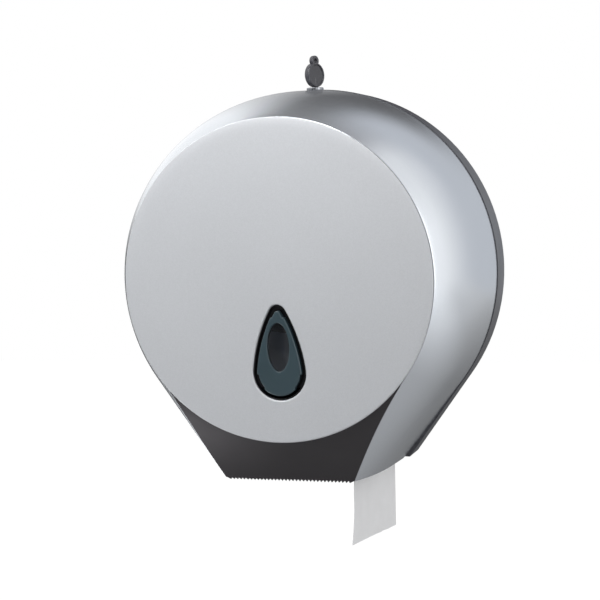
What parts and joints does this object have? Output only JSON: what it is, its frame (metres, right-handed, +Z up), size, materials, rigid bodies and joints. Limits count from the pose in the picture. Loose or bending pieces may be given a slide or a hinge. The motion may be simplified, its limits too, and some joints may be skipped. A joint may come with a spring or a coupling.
{
  "type": "jumbo toilet roll dispenser",
  "caption": "Round wall dispenser for a jumbo toilet roll, with a hinged locking cover, a spindle for the roll, a level window and a toothed paper outlet.",
  "frame": {"origin": "on the wall plane, on the axis that the roll turns about", "axes": "+X right as one faces the dispenser, +Y into the wall, +Z up"},
  "size_m": [0.2724, 0.131, 0.3592],
  "materials": {
    "dark_case": "satin",
    "adapter_plastic": "satin",
    "zinc_steel": "satin",
    "lock_metal": "satin",
    "chrome_trim": "gloss",
    "satin_cover": "satin",
    "silver_paint": "satin",
    "graphite": "satin",
    "black_trim": "satin",
    "smoked_trim": "gloss",
    "smoked_clear": "gloss",
    "core_board": "matte",
    "tissue": "matte"
  },
  "bodies": {
    "mounting": {"back_plate": "dark_case", "spindle_post": "dark_case", "spindle_screws": "zinc_steel", "spindle_cap": "dark_case", "spindle_cap_screw": "zinc_steel", "lock_housing": "lock_metal", "lock_nut": "lock_metal", "lock_collar": "chrome_trim", "hinge_pins": "zinc_steel", "paper_tail": "tissue"},
    "cover": {"cover_shell": "satin_cover", "front_disc": "silver_paint", "disc_screws": "zinc_steel", "chin_panel": "graphite", "chin_screws": "zinc_steel", "window_frame": "black_trim", "window_bezel": "smoked_trim", "window_pane": "smoked_clear", "strike_plate": "lock_metal", "strike_screws": "zinc_steel"},
    "lock_barrel": {"lock_rotor": "lock_metal", "lock_cam": "lock_metal", "cam_screw": "zinc_steel"},
    "key": {"key_shank": "lock_metal", "key_bow": "black_trim"},
    "roll_hub": {"core_adapter": "adapter_plastic", "roll_core": "core_board", "paper_roll": "tissue"}
  },
  "joints": [
    {"name": "cover_hinge", "type": "hinge", "parent": "mounting", "child": "cover", "pos_m": [0, -0.022, -0.135], "axis": [1, 0, 0], "range_deg": [0, 90], "deforming": ["paper_tail"]},
    {"name": "lock_turn", "type": "hinge", "parent": "mounting", "child": "lock_barrel", "pos_m": [0, -0.0195, 0.136], "axis": [0, 0, -1], "range_deg": [0, 90]},
    {"name": "key_pull", "type": "slide", "parent": "lock_barrel", "child": "key", "axis": [0, 0, 1], "range_m": [0, 0.03]},
    {"name": "roll_spin", "type": "hinge", "parent": "mounting", "child": "roll_hub", "pos_m": [0, -0.05, 0], "axis": [0, 1, 0], "continuous": true}
  ]
}
